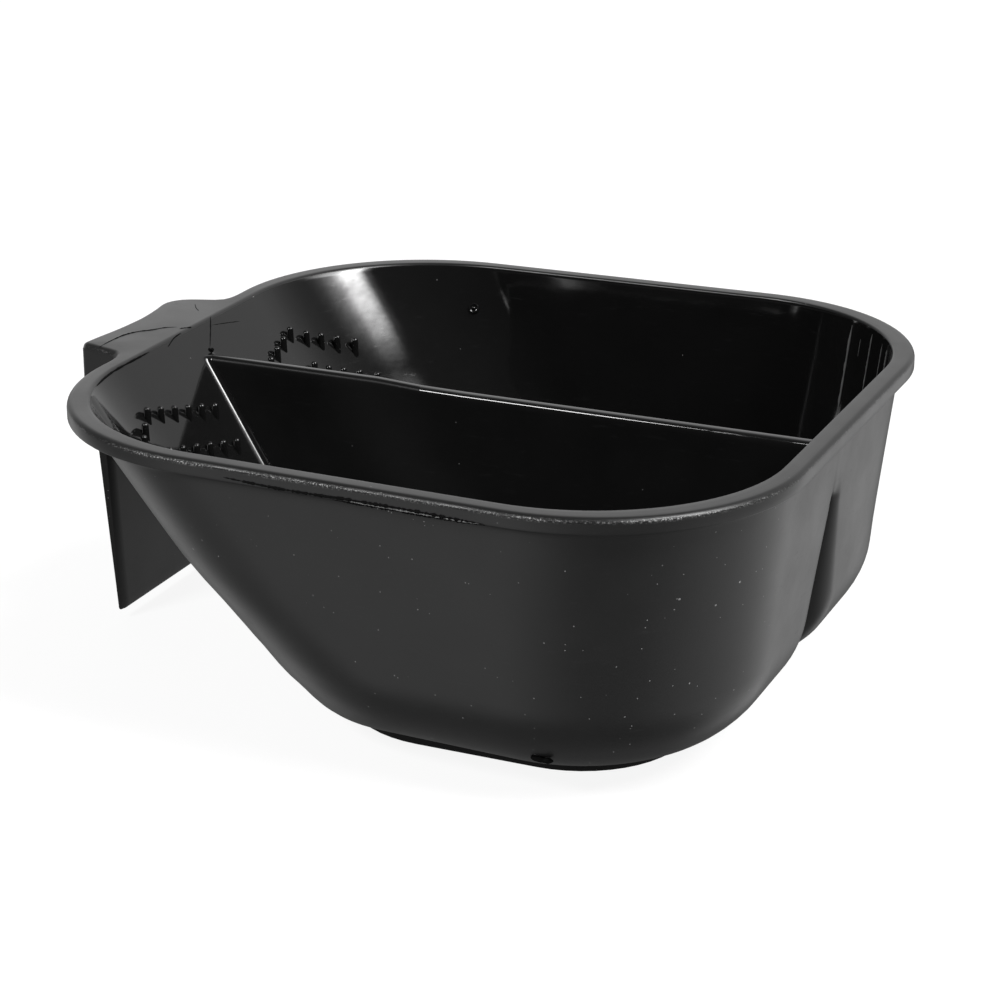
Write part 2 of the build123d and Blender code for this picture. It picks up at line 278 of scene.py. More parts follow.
def half_outline(side, section, face, fillet, rounded, crease=0.0):
    """One compartment's outline, from the divider's left end round to its right end.

    Rounded, it turns into the divider's face by an arc at each end.  Otherwise it runs straight on
    along the end walls to the divider's place, dented there by crease.
    """
    left, right, half_left, half_right, radius_left, radius_right = section
    far_left, far_right = (left, side * half_left), (right, side * half_right)
    room = abs(side * half_left - face) - fillet - CORNER_GAP
    arc_left = corner_arc((left, face), far_left, far_right, min(radius_left, room), ARC_STEPS)
    arc_right = corner_arc(far_left, far_right, (right, face), min(radius_right, room), ARC_STEPS)
    ends = []
    for x, inward in ((left, 1.0), (right, -1.0)):
        points = []
        for i in range(FILLET_STEPS + 1):
            share = i / FILLET_STEPS
            if rounded:
                angle = share * math.pi / 2
                across = fillet * (1.0 - math.sin(angle))
                along = fillet * (1.0 - math.cos(angle))
            else:
                across = crease * 0.5 * (1.0 + math.cos(share * math.pi))
                along = fillet * share
            points.append(Vector((x + inward * across, face + side * along)))
        ends.append(points)
    left_end, right_end = ends
    outline = left_end[:-1]
    outline += between(left_end[-1], arc_left[0], END_STEPS)
    outline += arc_left[:-1]
    outline += between(arc_left[-1], arc_right[0], SIDE_STEPS)
    outline += arc_right[:-1]
    outline += between(arc_right[-1], right_end[-1], END_STEPS)
    outline += reversed(right_end)
    return outline


def face_line(outline):
    """Points along the divider's face that close a compartment's outline, its ends left out."""
    return between(outline[-1], outline[0], FACE_STEPS)[1:]


def both_halves(front, back):
    """One loop round the whole bowl from the two compartments' outlines."""
    return list(front) + list(reversed(back))


def at_height(outline, height):
    return [Vector((p.x, p.y, height)) for p in outline]


def resample(points, count):
    """Count points evenly spaced along a smooth curve through the given ones."""
    points = [Vector(p) for p in points]
    dense = []
    for i in range(len(points) - 1):
        p0, p1 = points[max(i - 1, 0)], points[i]
        p2, p3 = points[i + 1], points[min(i + 2, len(points) - 1)]
        for step in range(8):
            t = step / 8
            dense.append(0.5 * (
                2 * p1 + (p2 - p0) * t + (2 * p0 - 5 * p1 + 4 * p2 - p3) * t ** 2
                + (3 * p1 - p0 - 3 * p2 + p3) * t ** 3
            ))
    dense.append(points[-1])
    lengths = [0.0]
    for a, b in zip(dense, dense[1:]):
        lengths.append(lengths[-1] + (b - a).length)
    result, place = [], 0
    for i in range(count):
        wanted = lengths[-1] * i / (count - 1)
        while place < len(lengths) - 2 and lengths[place + 1] < wanted:
            place += 1
        step = lengths[place + 1] - lengths[place]
        result.append(dense[place].lerp(dense[place + 1], (wanted - lengths[place]) / step))
    return result


def circle(centre, side, up, radius, count):
    """Points evenly spaced round a circle; side and up span its plane."""
    points = []
    for k in range(count):
        angle = 2 * math.pi * k / count
        points.append(centre + radius * (math.cos(angle) * side + math.sin(angle) * up))
    return points


def rubbing_and_glint(point):
    """How much rubbing and painted glint the rim's edge has at a place: most along the front."""
    past_corner = min(1.0, max(0.0, (point.x - WEAR_AND_GLINT_START_X) / WEAR_AND_GLINT_START_RUN))
    at_front = min(1.0, max(0.0, (WEAR_AND_GLINT_FRONT_Y - point.y) / WEAR_AND_GLINT_FRONT_RUN))
    quiet_stretch = QUIET_SHARE * math.exp(-((point.x - QUIET_X) / QUIET_HALF) ** 2)
    return WEAR_ALL_ROUND + (1.0 - WEAR_ALL_ROUND - quiet_stretch) * past_corner * at_front


# ---------------------------------------------------------------- mesh building
class Skin:
    """Collects loops of points and the faces between them."""

    def __init__(self):
        self.bm = bmesh.new()
        # each point's share of rubbing, with the painted glint line, for the rim's finish
        self.wear_and_glint = self.bm.verts.layers.float.new("wear_and_glint")

    def loop(self, points, wear_and_glint=0.0):
        verts = []
        for point in points:
            vert = self.bm.verts.new(point)
            vert[self.wear_and_glint] = wear_and_glint * rubbing_and_glint(point)
            verts.append(vert)
        return verts

    def bridge(self, first, second, material=0, closed=True):
        count = len(first)
        for i in range(count if closed else count - 1):
            j = (i + 1) % count
            face = self.bm.faces.new((first[i], first[j], second[j], second[i]))
            face.material_index = material

    def stack(self, loops, material=0, closed=True):
        for first, second in zip(loops, loops[1:]):
            self.bridge(first, second, material, closed)

    def cap(self, loop, material=0, rings=(0.75, 0.45, 0.2)):
        """Closes a loop with rings that shrink to its middle."""
        centre = sum((v.co for v in loop), Vector()) / len(loop)
        last = loop
        for share in rings:
            ring = self.loop([centre + (v.co - centre) * share for v in loop])
            self.bridge(last, ring, material)
            last = ring
        middle = self.loop([centre])[0]
        for i in range(len(last)):
            face = self.bm.faces.new((last[i], last[(i + 1) % len(last)], middle))
            face.material_index = material

    def close_ends(self, loops, material=0):
        """Closes the first and the last loop of a stack with one face each."""
        for end in (loops[0], loops[-1]):
            self.bm.faces.new(end).material_index = material

    def finish(self, name, materials, sharp_degrees=50.0):
        """Welds the seams, turns the faces outward and makes the object in metres."""
        bmesh.ops.remove_doubles(self.bm, verts=self.bm.verts, dist=0.003)
        bmesh.ops.dissolve_degenerate(self.bm, edges=self.bm.edges, dist=0.001)
        bmesh.ops.recalc_face_normals(self.bm, faces=self.bm.faces)
        mesh = bpy.data.meshes.new(name)
        self.bm.to_mesh(mesh)
        self.bm.free()
        mesh.transform(Matrix.Scale(MM, 4))
        for polygon in mesh.polygons:
            polygon.use_smooth = True
        mesh.set_sharp_from_angle(angle=math.radians(sharp_degrees))
        for material in materials:
            mesh.materials.append(material)
        thing = bpy.data.objects.new(name, mesh)
        bpy.context.scene.collection.objects.link(thing)
        return thing


def bead(skin, points, radius, material, waver=0.3, sides=6):
    """Adds a fine closed bead along a line; its radius wavers and runs out at both ends."""
    points = [Vector(p) for p in points]
    last = len(points) - 1
    loops = []
    for i, point in enumerate(points):
        ahead = points[min(i + 1, last)] - points[max(i - 1, 0)]
        side = ahead.cross(Vector((0.3, 0.2, 1.0))).normalized()
        up = side.cross(ahead).normalized()
        end_taper = min(1.0, 0.3 + 5.0 * min(i, last - i) / last)
        size = radius * end_taper * random.uniform(1.0 - waver, 1.0 + waver)
        loops.append(skin.loop(circle(point, side, up, size, sides)))
    skin.stack(loops, material)
    skin.close_ends(loops, material)


# ---------------------------------------------------------------- materials
def new_material(name, base, roughness, specular=0.5):
    material = bpy.data.materials.new(name)
    material.use_nodes = True
    shader = material.node_tree.nodes["Principled BSDF"]
    shader.inputs["Base Color"].default_value = (*base, 1.0)
    shader.inputs["Roughness"].default_value = roughness
    shader.inputs["Specular IOR Level"].default_value = specular
    shader.inputs["IOR"].default_value = 1.5
    return material, material.node_tree, shader


def add_node(tree, kind, **values):
    """A node with its inputs and properties set by name."""
    node = tree.nodes.new(kind)
    for key, value in values.items():
        key = key.replace("_", " ")
        if key in node.inputs:
            node.inputs[key].default_value = value
        else:
            setattr(node, key.replace(" ", "_"), value)
    return node


def noise(tree, coordinates, scale, detail=3.0, roughness=0.5):
    node = add_node(tree, "ShaderNodeTexNoise", Scale=scale, Detail=detail, Roughness=roughness)
    tree.links.new(coordinates.outputs["Object"], node.inputs["Vector"])
    return node.outputs["Fac"]


def ramp(tree, value, stops):
    """A colour ramp with grey stops: (place, grey)."""
    node = tree.nodes.new("ShaderNodeValToRGB")
    elements = node.color_ramp.elements
    while len(elements) < len(stops):
        elements.new(0.5)
    for element, (place, grey) in zip(elements, stops):
        element.position = place
        element.color = (grey, grey, grey, 1.0)
    tree.links.new(value, node.inputs["Fac"])
    return node.outputs["Color"]


def mix(tree, factor, first, second):
    """Colours mixed by a factor; each may be an output or a colour."""
    node = tree.nodes.new("ShaderNodeMix")
    node.data_type = "RGBA"
    sockets = (node.inputs[0], node.inputs[6], node.inputs[7])
    for socket, value in zip(sockets, (factor, first, second)):
        if isinstance(value, bpy.types.NodeSocket):
            tree.links.new(value, socket)
        elif isinstance(value, (int, float)):
            socket.default_value = value
        else:
            socket.default_value = (*value, 1.0)
    return node.outputs[2]


def maths(tree, operation, first, second):
    node = tree.nodes.new("ShaderNodeMath")
    node.operation = operation
    for socket, value in zip(node.inputs, (first, second)):
        if isinstance(value, (int, float)):
            socket.default_value = value
        else:
            tree.links.new(value, socket)
    return node.outputs[0]


def specks(tree, coordinates, scale, size, amount):
    """White dots of dust, scattered: 1 on a dot and 0 off it."""
    cells = add_node(tree, "ShaderNodeTexVoronoi", Scale=scale)
    tree.links.new(coordinates.outputs["Object"], cells.inputs["Vector"])
    near = maths(tree, "LESS_THAN", cells.outputs["Distance"], size)
    chosen = maths(tree, "LESS_THAN", cells.outputs["Color"], amount)
    return maths(tree, "MULTIPLY", near, chosen)


def plastic(name, base, roughness, dust, relief_depths, specular=0.5, wear_and_glint=False):
    """Black moulded plastic with uneven gloss, dust, fine scuffs and, where asked, worn edges
    whose pale flecks also paint a glint line.

    The relief depths, in millimetres, are those of the broad waves, the ripples and the grain.
    """
    rough_low, rough_high = roughness
    material, tree, shader = new_material(name, (base, base, base * 1.04), rough_low, specular)
    coordinates = tree.nodes.new("ShaderNodeTexCoord")
    mottle = noise(tree, coordinates, 60.0, 4.0, 0.6)
    stretched = tree.nodes.new("ShaderNodeMapping")
    stretched.inputs["Scale"].default_value = (1.0, 1.0, 6.0)
    tree.links.new(coordinates.outputs["Object"], stretched.inputs["Vector"])
    scuff = add_node(tree, "ShaderNodeTexNoise", Scale=180.0, Detail=6.0, Roughness=0.7)
    tree.links.new(stretched.outputs["Vector"], scuff.inputs["Vector"])
    scuffed = ramp(tree, scuff.outputs["Fac"], [(0.6, 0.0), (0.75, 1.0)])
    dots = specks(tree, coordinates, 420.0, 0.10, dust)
    fine = specks(tree, coordinates, 900.0, 0.12, dust * 1.3)
    settled = ramp(tree, noise(tree, coordinates, 20.0, 3.0, 0.6), [(0.42, 0.0), (0.56, 1.0)])
    dotted = maths(tree, "MULTIPLY", maths(tree, "MAXIMUM", dots, fine), settled)
    colour = mix(tree, mottle, (base * 0.8,) * 3, (base * 1.25,) * 3)
    colour = mix(tree, maths(tree, "MULTIPLY", scuffed, 0.12), colour, SCUFF_COLOUR)
    colour = mix(tree, maths(tree, "MULTIPLY", dotted, 0.4), colour, DUST_COLOUR)
    rough = ramp(tree, mottle, [(0.3, rough_low), (0.7, rough_high)])
    rough = mix(tree, maths(tree, "MULTIPLY", scuffed, 0.35), rough, (SCUFF_ROUGHNESS,) * 3)
    rough = mix(tree, dotted, rough, (DUST_ROUGHNESS,) * 3)
    height = 0.0
    for scale, depth in zip(RELIEF_SCALES, relief_depths):
        layer = maths(tree, "MULTIPLY", noise(tree, coordinates, scale, 2.0, 0.55), depth)
        height = maths(tree, "ADD", layer, height)
    if wear_and_glint:
        # pale flecks where the rim is rubbed; along the front lip they also paint the light's glint
        # line
        worn_and_glint = tree.nodes.new("ShaderNodeAttribute")
        worn_and_glint.attribute_name = "wear_and_glint"
        grit = noise(tree, coordinates, 2600.0, 3.0, 0.8)
        patchy = ramp(tree, noise(tree, coordinates, 70.0, 4.0, 0.6), [(0.30, 0.25), (0.58, 1.0)])
        flecks = ramp(tree, grit, [(0.53, 0.0), (0.60, 1.0)])
        rubbed_and_glint = maths(tree, "MULTIPLY", worn_and_glint.outputs["Fac"], patchy)
        amount = maths(tree, "MULTIPLY", rubbed_and_glint, flecks)
        colour = mix(tree, maths(tree, "MULTIPLY", amount, 0.8), colour, WORN_AND_GLINT_COLOUR)
        rough = mix(tree, amount, rough, (WORN_ROUGHNESS,) * 3)
        pitted = maths(tree, "MULTIPLY", maths(tree, "MULTIPLY", rubbed_and_glint, grit), WORN_RELIEF)
        height = maths(tree, "ADD", height, pitted)
    tree.links.new(colour, shader.inputs["Base Color"])
    tree.links.new(rough, shader.inputs["Roughness"])
    relief = add_node(tree, "ShaderNodeBump", Strength=1.0, Distance=0.001)
    tree.links.new(height, relief.inputs["Height"])
    tree.links.new(relief.outputs["Normal"], shader.inputs["Normal"])
    return material


def dark_line_and_shade(name):
    """Near black, dull, uneven: dark lines, the nick and a painted shade line inside the rim."""
    material, tree, shader = new_material(name, (0.003, 0.003, 0.003), 0.55, 0.03)
    coordinates = tree.nodes.new("ShaderNodeTexCoord")
    mottle = noise(tree, coordinates, 900.0, 3.0, 0.6)
    tree.links.new(mix(tree, mottle, (0.001,) * 3, (0.006,) * 3), shader.inputs["Base Color"])
    tree.links.new(ramp(tree, mottle, [(0.3, 0.45), (0.7, 0.7)]), shader.inputs["Roughness"])
    return material


def rubber(name):
    """Matte black rubber with a fine grain and a little dust."""
    material, tree, shader = new_material(name, (0.006, 0.006, 0.006), 0.6, 0.12)
    coordinates = tree.nodes.new("ShaderNodeTexCoord")
    mottle = noise(tree, coordinates, 240.0, 5.0, 0.65)
    dots = specks(tree, coordinates, 700.0, 0.2, 0.06)
    colour = mix(tree, mottle, (0.004, 0.004, 0.004), (0.010, 0.010, 0.010))
    colour = mix(tree, maths(tree, "MULTIPLY", dots, 0.4), colour, (0.3, 0.3, 0.3))
    tree.links.new(colour, shader.inputs["Base Color"])
    tree.links.new(ramp(tree, mottle, [(0.3, 0.5), (0.7, 0.7)]), shader.inputs["Roughness"])
    relief = add_node(tree, "ShaderNodeBump", Strength=0.6, Distance=0.0002)
    tree.links.new(noise(tree, coordinates, 1600.0, 3.0, 0.6), relief.inputs["Height"])
    tree.links.new(relief.outputs["Normal"], shader.inputs["Normal"])
    return material


# ---------------------------------------------------------------- the moulding
# places in the moulding's list of materials
INSIDE, OUTSIDE, LIP, DIVIDER, MARK, SCRATCH_AND_REFLECTION = range(6)

# near-black lines on the web, the rim and the inner wall by the grip: points and radius, mm
DARK_LINES = [
    ([(-79.6, -21.3, 64.95), (-79.7, -16.6, 64.97), (-79.3, -11.5, 64.97), (-77.9, -8.0, 64.97),
      (-75.8, -5.7, 64.97), (-74.0, -2.9, 64.97), (-71.7, -1.3, 64.97)], 0.17),
    ([(-68.85, -4.6, 64.9), (-68.7, -8.0, 64.66), (-68.1, -11.8, 63.74)], 0.14),
    ([(-68.95, 8.9, 64.95), (-68.0, 7.1, 63.6), (-66.9, 4.9, 62.0), (-65.4, 1.9, 59.9)], 0.15),
    ([(-67.9, 7.6, 63.5), (-67.3, 12.6, 62.7), (-66.6, 18.3, 61.7)], 0.07),
    ([(-77.2, 16.5, 64.97), (-75.4, 13.8, 64.97), (-73.6, 11.9, 64.97)], 0.1),
    ([(-70.6, -2.2, 64.97), (-69.6, -1.0, 64.95), (-68.9, 0.2, 64.9)], 0.2),
    ([(-65.6, 1.3, 59.5), (-65.2, 1.9, 59.6), (-64.9, 2.4, 59.3)], 0.5),
]
# the dark irregular line along the lip's lower edge at the front: a dark strand, a second below
# its far half, and pale plastic between the two
DARK_STRAND = [
    (-17.7, -78.44, 62.6), (-11.7, -78.6, 62.35), (-5.3, -78.77, 62.15), (1.1, -78.93, 62.15),
    (5.4, -79.04, 62.2), (8.6, -79.13, 62.3), (16.0, -79.32, 62.28), (24.3, -79.53, 62.2),
    (30.5, -79.7, 62.0), (37.4, -79.87, 61.95),
]
LOWER_STRAND = [
    (5.8, -79.0, 61.75), (10.0, -79.1, 61.7), (16.0, -79.25, 61.66), (24.4, -79.45, 61.6),
    (30.6, -79.6, 61.6), (37.6, -79.8, 61.7),
]
PALE_STRAND = [
    (9.0, -79.17, 61.98), (20.0, -79.43, 61.92), (30.0, -79.68, 61.82), (36.5, -79.85, 61.84),
]
# the strands with their radii and finishes
STRANDS = [(DARK_STRAND, 0.25, MARK), (LOWER_STRAND, 0.2, MARK), (PALE_STRAND, 0.14, SCRATCH_AND_REFLECTION)]
# the painted shade line inside the rim beside the grip, a near-black bead where the rim's inner
# edge steps down: where it runs along Y, its height and radius
GAP_SHADE_PLACES = (-19.0, -24.0, -29.0, -34.0, -38.0, -41.0, -43.5)
GAP_SHADE_HEIGHT, GAP_SHADE_WALL_HEIGHT, GAP_SHADE_RADIUS = 64.55, 64.5, 0.24
# painted reflection streaks down the inside of the end corner, pale beads in place of the window's
# reflection: share of the way round, top, bottom and radius
REFLECTION_STREAKS = [
    (0.41, 63.2, 42.0, 0.34), (0.54, 63.4, 50.0, 0.2), (0.635, 63.0, 55.0, 0.12),
    (0.70, 62.8, 58.0, 0.15), (0.47, 61.0, 57.0, 0.08),
]
STREAK_STEPS = 23
# a dark nick in the bowl's side just over the ring
NICK = [(41.2, -65.7, 9.3), (42.6, -65.6, 9.2), (44.2, -65.5, 9.1), (45.8, -65.4, 9.2)]
NICK_RADIUS = 0.6
# the gate mark: its place, the wall's direction there, and its profile as (radius, rise)
GATE_PLACE = (-31.5, 70.95, 55.0)
GATE_NORMAL = (0.29, -0.9, 0.32)
GATE_PROFILE = [
    (1.3, -0.4), (1.25, 0.1), (1.0, 0.22), (0.8, 0.05), (0.45, 0.02), (0.3, 0.3), (0.1, 0.42),
]
GATE_SIDES = 16


def heel_heights(inset):
    """Heights up the curve from floor to wall, evenly spaced by angle."""
    floor, heel = UNDERSIDE + inset, HEEL - inset
    steps = range(HEEL_STEPS + 1)
    return [floor + heel * (1.0 - math.cos(i / HEEL_STEPS * math.pi / 2)) for i in steps]


def cup_outline(side, height, inset):
    """One compartment's outline, which rounds into the divider's face or the groove's at its ends."""
    if inset:
        over = max(0.0, height - DIVIDER_TOP + DIVIDER_ROUND) / DIVIDER_ROUND
        rounding = DIVIDER_ROUND * (1.0 - math.sqrt(max(0.0, 1.0 - over ** 2)))
        face, fillet = divider_face(height) - rounding, smooth_station(RADII_DIVIDER, height)
    else:
        face, fillet = groove_face(height), smooth_station(RADII_GROOVE, height)
    return half_outline(side, wall_section(height, inset), side * face, fillet, True)


def cup_loops(skin, heights, inset, material):
    """Stacks both compartments' sections and joins their tops over the divider's middle plane."""
    tops = []
    for side in (-1, 1):
        outlines = [cup_outline(side, height, inset) for height in heights]
        loops = [
            skin.loop(at_height(outline + face_line(outline), height))
            for outline, height in zip(outlines, heights)
        ]
        skin.stack(loops, material)
        skin.cap(loops[0], material)
        if inset:
            mark_divider_faces(loops, len(outlines[0]), DIVIDER_TOP - DIVIDER_ROUND)
        split = len(outlines[-1])
        rim_part, face_part = loops[-1][:split], loops[-1][split:]
        tops.append((rim_part, [rim_part[-1]] + face_part + [rim_part[0]]))
    (front, front_face), (back, back_face) = tops
    skin.bridge(front_face, back_face, material, closed=False)
    return both_halves(front, back)


def mark_divider_faces(loops, split, rounding_start):
    """Gives the divider's faces their own finish: they lie past the outline in every loop.

    The rounding over them has it too near the grip, and stays glossy along the rest.
    """
    for loop in loops:
        on_divider = set(loop[split - 1:] + loop[:1])
        for vert in loop[split:]:
            for face in vert.link_faces:
                free_of_wall = all(v in on_divider or v not in loop for v in face.verts)
                beside = face.material_index == INSIDE and free_of_wall
                centre = face.calc_center_median()
                above_floor = centre.z > UNDERSIDE + WALL + 0.05
                if beside and above_floor and (centre.z < rounding_start or centre.x < CREST_LOW_X):
                    face.material_index = DIVIDER


def outer_skin(skin):
    """The outside of both compartments, up to the underside of the lip."""
    heights = heel_heights(0.0) + [28.0, 32.5, 37.0, 41.0, 43.5, 45.0, GROOVE_TOP]
    loops = [cup_loops(skin, heights, 0.0, OUTSIDE)]
    reach = groove_face(GROOVE_TOP) + smooth_station(RADII_GROOVE, GROOVE_TOP)
    for height in (46.4, 47.0, 48.0, 49.5, 51.5, 54.0, 56.5, 58.0, 59.4, 60.4):
        crease = CREASE_LEFT + CREASE_DEPTH * math.exp(-(height - GROOVE_TOP) / CREASE_FADE)
        section = wall_section(height, 0.0)
        halves = [half_outline(side, section, 0.0, reach, False, crease) for side in (-1, 1)]
        loops.append(skin.loop(at_height(both_halves(*halves), height)))
    skin.stack(loops, OUTSIDE)
    return loops[-1], reach


def inner_skin(skin):
    """The inside of both compartments and the divider's top, up to the lip's lower edge."""
    top_curve = [math.sin(i / 4 * math.pi / 2) for i in range(5)]
    heights = heel_heights(WALL) + [28.0, 33.0, 38.0, 43.0, 47.5, 51.5, 54.5, 56.6]
    heights += [DIVIDER_TOP - DIVIDER_ROUND * (1.0 - share) for share in top_curve]
    loops = [cup_loops(skin, heights, WALL, INSIDE)]
    face = divider_face(DIVIDER_TOP) - DIVIDER_ROUND
    fillet = smooth_station(RADII_DIVIDER, DIVIDER_TOP)
    for height in (DIVIDER_TOP, 58.9, 59.4, 60.1, 60.9, LIP_BOTTOM):
        loops.append(skin.loop(wall_loop(height, WALL, face, fillet)))
    skin.stack(loops, INSIDE)
    raise_crest(skin)
    return loops[-1]


def raise_crest(skin):
    """Lifts the divider's top towards the grip; points on the sloping wall slide up it."""
    reach_up = LIP_BOTTOM - DIVIDER_TOP
    for vert in skin.bm.verts:
        above = vert.co.z - DIVIDER_TOP
        by_height = 1.0 - (above / reach_up if above > 0 else -above / CREST_REACH_DOWN)
        beside = min(1.0, max(0.0, (CREST_SIDE_END - abs(vert.co.y)) / CREST_SIDE_RUN))
        lift = crest(vert.co.x) * max(0.0, by_height) * beside
        wall_x = wall_section(vert.co.z, WALL)[0]
        if vert.co.x < wall_x + 1.5:
            vert.co.x -= RAMP_SLOPE * lift
        vert.co.z += lift


def grip_points(side, inset):
    """Points round the grip's own outline, one for each place along the rim's grip end."""
    columns = FILLET_STEPS + END_STEPS
    start = half_outline(side, rim_section(0.0), 0.0, RIM_REACH, False)[columns]
    stations = (GRIP_NEAR if side < 0 else GRIP_FAR) + [tuple(start)]
    points = resample(stations, columns + 1)
    moved = []
    for i, point in enumerate(points):
        ahead = points[min(i + 1, columns)] - points[max(i - 1, 0)]
        inward = Vector((-ahead.y, ahead.x)).normalized() * -side
        if i == 0:
            inward = Vector((1.0, 0.0))
        moved.append(point + inward * inset)
    return moved[:-1]


def wall_loop(height, inset, face, fillet):
    """A loop round the inside of the wall above the divider."""
    section = wall_section(height, inset)
    halves = [half_outline(side, section, side * face, fillet, False) for side in (-1, 1)]
    return at_height(both_halves(*halves), height)


def rim_loop(inset, height, grip=False, web_height=None):
    """A loop round the rim, out round the grip where asked, at the web's own height if given."""
    halves = []
    for side in (-1, 1):
        outline = half_outline(side, rim_section(inset), 0.0, RIM_REACH, False)
        half = at_height(outline, height)
        if grip:
            grip_height = height if web_height is None else web_height
            outside = at_height(grip_points(side, inset), grip_height)
            half[:len(outside)] = outside
        halves.append(half)
    return both_halves(*halves)


def lip_skin(skin, inner_loop, outer_loop, reach):
    """The rim's flat top with its rounded edges, the grip's web and the down-turned lip."""
    loops = [inner_loop]
    fillet = smooth_station(RADII_DIVIDER, LIP_BOTTOM)
    face = divider_face(DIVIDER_TOP) - DIVIDER_ROUND
    for height in (62.8, 63.8, RIM_TOP - INNER_ROUND):
        loops.append(skin.loop(wall_loop(height, WALL, face, fillet)))
    skin.stack(loops, INSIDE)
    loops = loops[-1:]
    for step in range(1, 5):
        angle = step / 4 * math.pi / 2
        height = RIM_TOP - INNER_ROUND * (1.0 - math.sin(angle))
        inset = WALL - INNER_ROUND * (1.0 - math.cos(angle))
        loops.append(skin.loop(wall_loop(height, inset, face, fillet)))
    for inset in (3.1, 2.2):
        loops.append(skin.loop(rim_loop(inset, RIM_TOP)))
    # the rounding over the lip is rubbed and carries the painted glint line
    for step, wear_and_glint in enumerate(LIP_WEAR_AND_GLINT):
        angle = step / (len(LIP_WEAR_AND_GLINT) - 1) * math.pi / 2
        inset = LIP_ROUND * (1.0 - math.sin(angle))
        height = RIM_TOP - LIP_ROUND * (1.0 - math.cos(angle))
        loops.append(skin.loop(rim_loop(inset, height, grip=True), wear_and_glint))
    loops.append(skin.loop(rim_loop(0.0, 63.0, grip=True)))
    for inset, height, web_height in LIP_EDGE:
        loops.append(skin.loop(rim_loop(inset, height, grip=True, web_height=web_height)))
    loops.append(skin.loop(rim_loop(1.2, LIP_BOTTOM)))
    for height, out in ((61.5, 0.75), (61.15, 0.3)):
        section = wall_section(height, -out)
        halves = [half_outline(side, section, 0.0, reach, False, CREASE_LEFT) for side in (-1, 1)]
        loops.append(skin.loop(at_height(both_halves(*halves), height)))
    loops.append(outer_loop)
    skin.stack(loops, LIP)


def grip_cheek(skin, side):
    """Side wall of the grip, flush with the web's edge: deep at the plate, shallow at the rim."""
    outline = resample(GRIP_NEAR if side < 0 else GRIP_FAR, 60)
    outline = [p for p in outline if abs(p.y) > 18.4 and p.x < -74.2]
    loops = []
    for i, point in enumerate(outline):
        ahead = outline[min(i + 1, len(outline) - 1)] - outline[max(i - 1, 0)]
        outward = Vector((ahead.y, -ahead.x)).normalized() * -side
        share = (point.x - GRIP_LEFT) / (RIM_LEFT - GRIP_LEFT)
        bottom = WEB_BOTTOM - CHEEK_DEPTH * (1.0 - share) - 0.5 * share
        inner = Vector((point.x + 0.3, point.y - side * CHEEK_THICKNESS))
        ring = []
        for place, height in (
            (point + outward * 0.02, RIM_TOP - LIP_ROUND), (point + outward * 0.02, bottom + 0.3),
            (point - outward * 0.3, bottom), (inner, bottom), (inner, RIM_TOP - LIP_ROUND),
        ):
            ring.append(Vector((place.x, place.y, height)))
        loops.append(skin.loop(ring))
    skin.stack(loops, LIP)
    skin.close_ends(loops, LIP)


def gate_mark(skin):
    """The round mark where the plastic was let in: a low ring round a pip."""
    centre, normal = Vector(GATE_PLACE), Vector(GATE_NORMAL).normalized()
    side = normal.cross(Vector((0.0, 0.0, 1.0))).normalized()
    up = side.cross(normal)
    loops = []
    for radius, rise in GATE_PROFILE:
        loops.append(skin.loop(circle(centre + normal * rise, side, up, radius, GATE_SIDES)))
    skin.stack(loops, INSIDE)
    skin.close_ends(loops, INSIDE)


def reflection_streak_points(share, top, bottom):
    """Points for a painted reflection streak down the far end corner, a share of the way round it."""
    points = []
    for i in range(STREAK_STEPS + 1):
        height = top + (bottom - top) * i / STREAK_STEPS
        outline = cup_outline(1, height, WALL)
        place = FILLET_STEPS + END_STEPS + ARC_STEPS + SIDE_STEPS + share * ARC_STEPS
        before = int(place)
        point = outline[before].lerp(outline[before + 1], place - before)
        points.append((point.x, point.y, height))
    return points


def bowl_moulding(materials):
    """The tubs, rim and web in one mesh, with the cheeks and marks as closed shells sunk in it."""
    skin = Skin()
    inner_loop = inner_skin(skin)
    outer_loop, reach = outer_skin(skin)
    lip_skin(skin, inner_loop, outer_loop, reach)
    for side in (-1, 1):
        grip_cheek(skin, side)
    for points, radius in DARK_LINES:
        bead(skin, resample(points, 6 * len(points)), radius, MARK)
    # a near-black bead just inside the rim by the grip: painted shade where the rim's edge steps down
    rim_gap_shade = [(inner_wall_x(y, GAP_SHADE_WALL_HEIGHT), y, GAP_SHADE_HEIGHT) for y in GAP_SHADE_PLACES]
    bead(skin, resample(rim_gap_shade, 60), GAP_SHADE_RADIUS, MARK)
    for points, radius, material in STRANDS:
        bead(skin, resample(points, 150), radius, material, waver=0.6)
    bead(skin, resample(NICK, 12), NICK_RADIUS, MARK, waver=0.1)
    # pale beads down the far end corner: painted reflection streaks
    for share, top, bottom, radius in REFLECTION_STREAKS:
        bead(skin, reflection_streak_points(share, top, bottom), radius, SCRATCH_AND_REFLECTION)
    gate_mark(skin)
    return skin.finish("bowl_moulding", materials)


